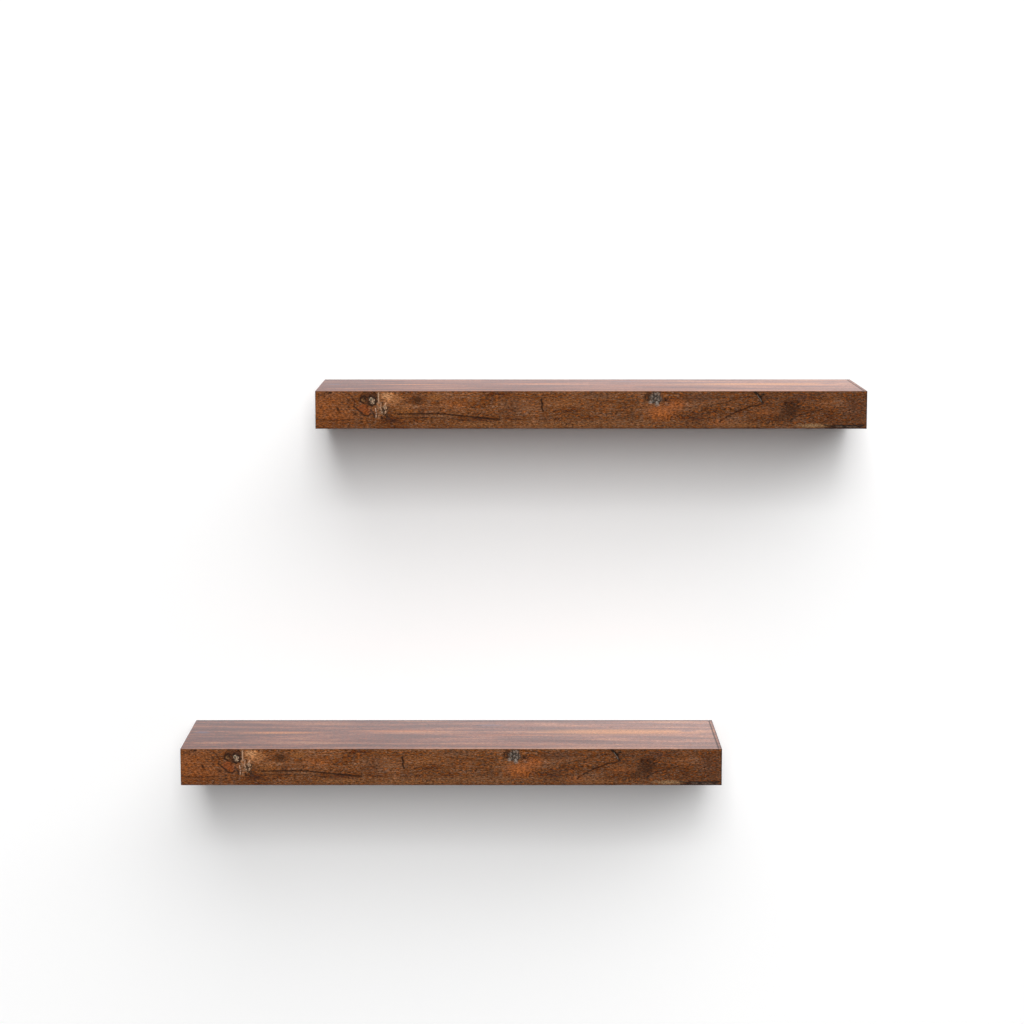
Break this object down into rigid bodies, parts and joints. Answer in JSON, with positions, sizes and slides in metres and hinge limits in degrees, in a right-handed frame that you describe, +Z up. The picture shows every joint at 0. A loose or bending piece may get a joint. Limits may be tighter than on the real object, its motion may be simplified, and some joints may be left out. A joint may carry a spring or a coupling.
{
  "type": "floating wall shelf",
  "caption": "Staggered floating wall shelves: slim foil-wrapped hollow wood boxes that slide onto hidden steel rod brackets screwed to the wall.",
  "frame": {"origin": "mouth of the lower bracket's middle wall anchor, on the wall's surface, at mid-thickness of the lower shelf", "axes": "+X to the right along the wall, +Y into the wall, +Z up"},
  "size_m": [0.766, 0.192, 0.446],
  "materials": {
    "printed_wood_foil": "printed rustic wood foil on thin fibreboard, satin",
    "particle_board": "raw sawn particle board",
    "kraft_paper": "plain kraft paper, glued",
    "brass_insert": "turned, threaded",
    "blackened_steel": "black oxide",
    "coated_steel": "black powder coat",
    "zinc_plated_steel": "bright zinc plate",
    "moulded_nylon": "moulded grey nylon"
  },
  "bodies": {
    "wall_brackets": {"lower_wall_plate": "coated_steel", "lower_support_rods": "coated_steel", "lower_wall_screws": "zinc_plated_steel", "lower_wall_anchors": "moulded_nylon", "upper_wall_plate": "coated_steel", "upper_support_rods": "coated_steel", "upper_wall_screws": "zinc_plated_steel", "upper_wall_anchors": "moulded_nylon"},
    "lower_shelf": {"lower_top_panel": "printed_wood_foil", "lower_bottom_panel": "printed_wood_foil", "lower_front_panel": "printed_wood_foil", "lower_left_end_panel": "printed_wood_foil", "lower_right_end_cap": "printed_wood_foil", "lower_front_rail": "particle_board", "lower_left_stile": "particle_board", "lower_right_stile": "particle_board", "lower_rear_rail": "particle_board", "lower_guide_blocks": "particle_board", "lower_honeycomb_core": "kraft_paper", "lower_threaded_insert": "brass_insert", "lower_locking_screw": "blackened_steel"},
    "upper_shelf": {"upper_top_panel": "printed_wood_foil", "upper_bottom_panel": "printed_wood_foil", "upper_front_panel": "printed_wood_foil", "upper_left_end_panel": "printed_wood_foil", "upper_right_end_cap": "printed_wood_foil", "upper_front_rail": "particle_board", "upper_left_stile": "particle_board", "upper_right_stile": "particle_board", "upper_rear_rail": "particle_board", "upper_guide_blocks": "particle_board", "upper_honeycomb_core": "kraft_paper", "upper_threaded_insert": "brass_insert", "upper_locking_screw": "blackened_steel"}
  },
  "joints": [
    {"name": "lower_shelf_slide", "type": "slide", "parent": "wall_brackets", "child": "lower_shelf", "axis": [0, -1, 0], "range_m": [0, 0.125]},
    {"name": "upper_shelf_slide", "type": "slide", "parent": "wall_brackets", "child": "upper_shelf", "axis": [0, -1, 0], "range_m": [0, 0.125]}
  ]
}
